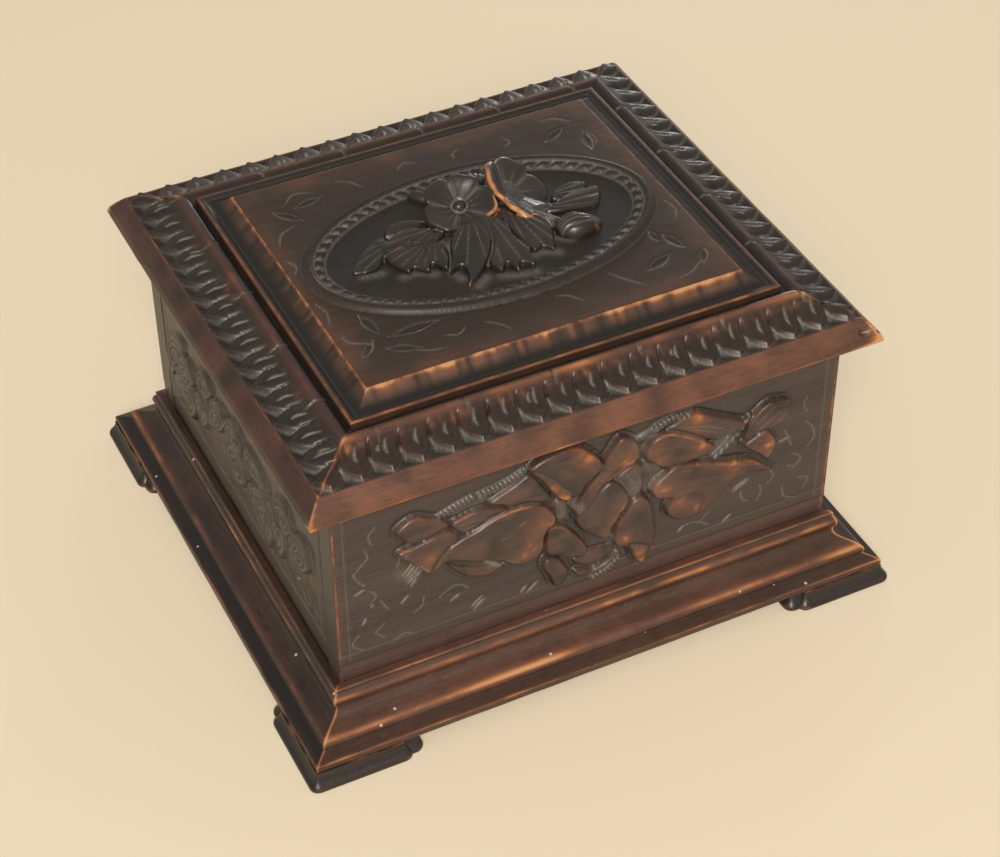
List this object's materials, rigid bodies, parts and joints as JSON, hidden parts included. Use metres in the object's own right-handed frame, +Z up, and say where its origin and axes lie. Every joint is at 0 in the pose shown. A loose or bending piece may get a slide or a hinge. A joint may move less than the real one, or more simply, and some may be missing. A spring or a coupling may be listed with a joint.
{
  "type": "carved wooden cigar box",
  "caption": "Dark stained wooden box with a hinged carved lid, floral relief, moulded base and bracket feet, lined in cedar to hold cigars.",
  "frame": {"origin": "centre of the footprint on the surface that the feet stand on", "axes": "+X along the front to the right, +Y from the front to the hinged back, +Z up"},
  "size_m": [0.2948, 0.2668, 0.1803],
  "materials": {
    "carved_wood": "dark stained and waxed walnut, carved, satin",
    "moulded_wood": "dark stained walnut mouldings, worn to orange brown on the arrises, satin",
    "foot_wood": "dark stained walnut, worn, satin",
    "spray_wood": "dark stained walnut, polished by handling",
    "cedar": "bare planed cedar, matt",
    "brass": "aged plain brass"
  },
  "bodies": {
    "case": {"front_board": "carved_wood", "back_board": "carved_wood", "left_board": "carved_wood", "right_board": "carved_wood", "bottom_board": "carved_wood", "lining_floor": "cedar", "lining_front": "cedar", "lining_back": "cedar", "lining_left": "cedar", "lining_right": "cedar", "base_front": "moulded_wood", "base_back": "moulded_wood", "base_left": "moulded_wood", "base_right": "moulded_wood", "foot_front_left": "foot_wood", "foot_front_right": "foot_wood", "foot_back_left": "foot_wood", "foot_back_right": "foot_wood", "foot_left_front": "foot_wood", "foot_left_back": "foot_wood", "foot_right_front": "foot_wood", "foot_right_back": "foot_wood", "case_leaf_left": "brass", "case_leaf_right": "brass", "hinge_pin_left": "brass", "hinge_pin_right": "brass", "case_hinge_screws": "brass"},
    "lid": {"lid_rail_front": "moulded_wood", "lid_rail_back": "moulded_wood", "lid_rail_left": "moulded_wood", "lid_rail_right": "moulded_wood", "lid_panel": "carved_wood", "lid_lining": "cedar", "lid_flower_spray": "spray_wood", "lid_leaf_left": "brass", "lid_leaf_right": "brass", "lid_hinge_screws": "brass"}
  },
  "joints": [
    {"name": "lid_hinge", "type": "hinge", "parent": "case", "child": "lid", "pos_m": [0, 0.111, 0.14025], "axis": [-1, 0, 0], "range_deg": [0, 105]}
  ]
}
